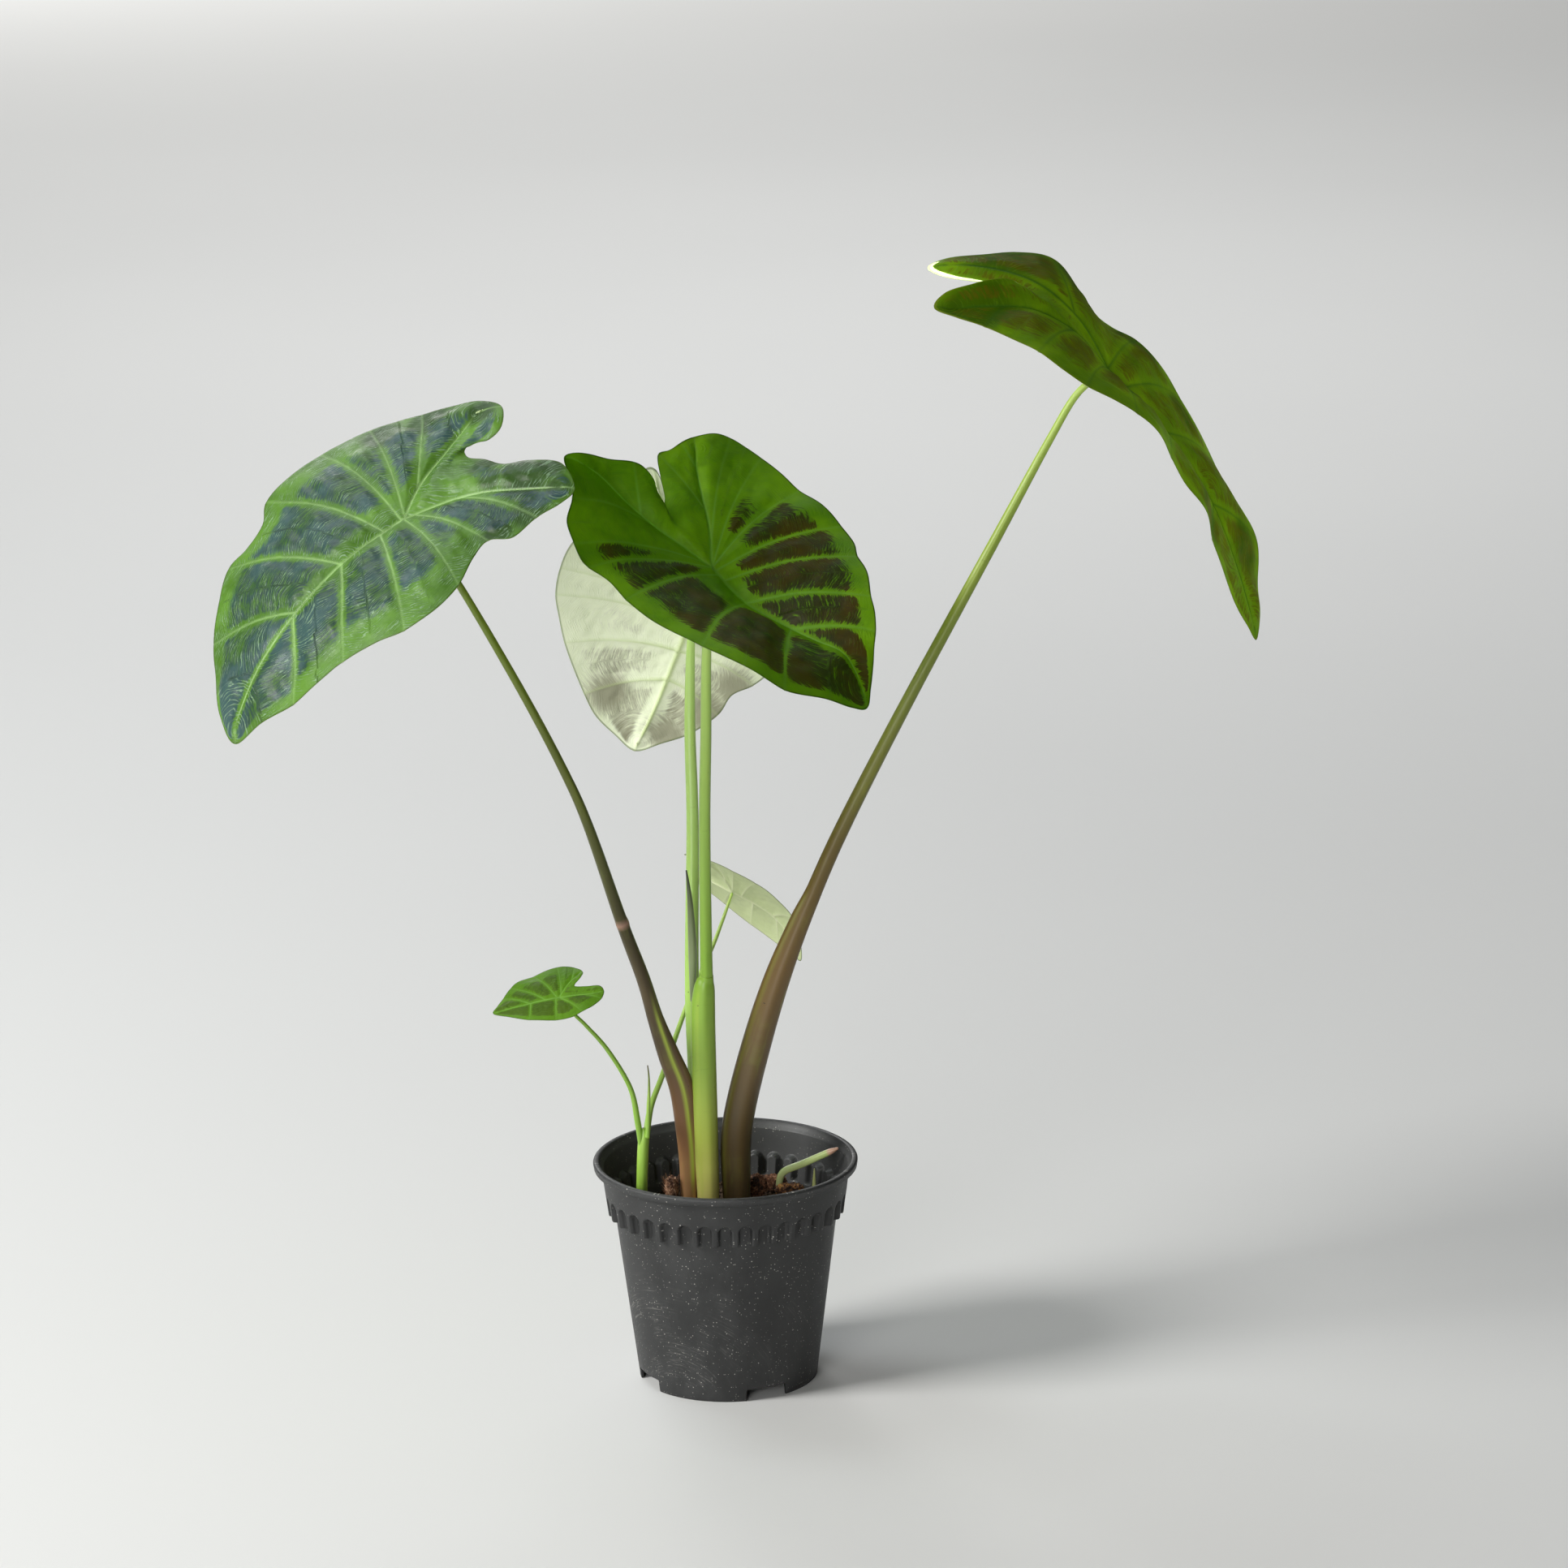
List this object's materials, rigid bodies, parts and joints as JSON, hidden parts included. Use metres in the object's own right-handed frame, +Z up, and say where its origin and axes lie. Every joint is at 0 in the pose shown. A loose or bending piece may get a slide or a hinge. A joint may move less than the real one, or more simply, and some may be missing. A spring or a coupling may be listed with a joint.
{
  "type": "potted elephant ear",
  "caption": "Elephant ear plant with large heart-shaped mottled leaves on long arching stalks, growing in a fluted charcoal plastic nursery pot.",
  "frame": {"origin": "on the floor, under the middle of the whole plant's box", "axes": "+Z up, -Y towards the side the plant is seen from, +X to the right; the pot's axis stands at x = -0.0160, y = 0.0358 m"},
  "size_m": [0.6914, 0.3204, 0.7647],
  "materials": {
    "pot_plastic": "charcoal moulded plastic, dusty and scuffed",
    "soil": "dark crumbly potting mix",
    "crown": "rough brown root crown",
    "bark": "reddish brown bark, fibrous",
    "husk": "dry papery husk",
    "blade_bluish": "satin leaf, blue-black feathering between pale veins",
    "blade_deep_green": "satin leaf, deep green with dark feathered blotches",
    "blade_pale_green": "pale leaf underside, faint grey-purple mottling",
    "blade_olive": "satin leaf, olive green",
    "blade_small": "satin young leaf",
    "stalk_green": "smooth bright green stalk",
    "stalk_brown": "smooth olive brown stalk",
    "furled_green": "rolled young leaf, grey green",
    "dry_tissue": "withered leaf tip"
  },
  "bodies": {
    "root": {"nursery_pot": "pot_plastic", "potting_soil": "soil", "root_crown": "crown", "bark_tall": "bark", "bark_rear": "bark", "bark_front": "bark", "dry_husk": "husk", "blade_left": "blade_bluish", "blade_front": "blade_deep_green", "blade_back": "blade_pale_green", "blade_right": "blade_olive", "blade_small_left": "blade_small", "blade_small_back": "blade_small", "stalk_left": "stalk_brown", "stalk_right": "stalk_brown", "stalk_front": "stalk_green", "stalk_back": "stalk_green", "offset_sheath": "stalk_green", "stalk_small_left": "stalk_green", "stalk_small_back": "stalk_green", "withered_leaf": "dry_tissue", "furled_leaf": "furled_green", "cut_runner": "stalk_green", "young_shoot": "stalk_green"}
  },
  "joints": []
}
